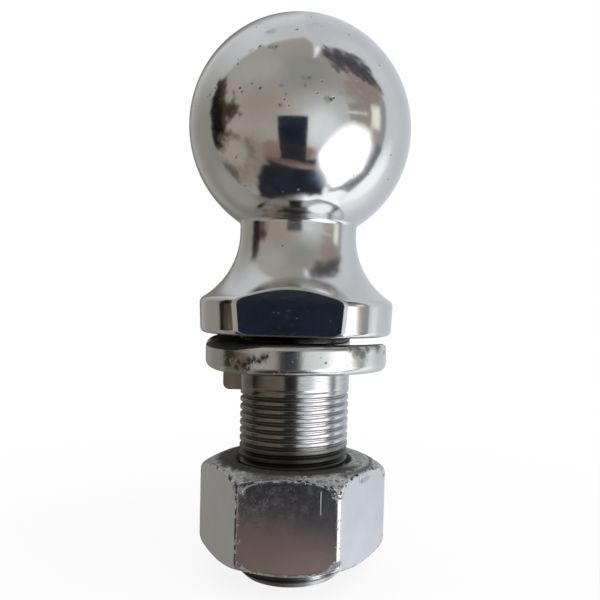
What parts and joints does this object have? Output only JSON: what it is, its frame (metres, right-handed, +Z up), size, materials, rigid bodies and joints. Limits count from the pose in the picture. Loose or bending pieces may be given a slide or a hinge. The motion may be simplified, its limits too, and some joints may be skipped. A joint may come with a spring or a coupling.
{
  "type": "tow ball",
  "caption": "Chrome trailer tow ball with a flared neck, flange with wrench flats, threaded shank, split lock washer and hexagon nut.",
  "frame": {"origin": "middle of the flange's underside, on the shank's axis", "axes": "+Z up along the shank's axis towards the ball, -Y towards the viewer of the picture, +X to the viewer's right"},
  "size_m": [0.0508, 0.0508, 0.1282],
  "materials": {
    "chrome_plate": "bright chrome plating, mirror smooth with small pits; the thread is bright steel with dark roots",
    "washer_zinc": "worn zinc plating with rust pits",
    "nut_zinc": "satin zinc plating with chipped, dirty chamfers"
  },
  "bodies": {
    "root": {"ball_stud": "chrome_plate", "lock_washer": "washer_zinc", "hex_nut": "nut_zinc"}
  },
  "joints": []
}
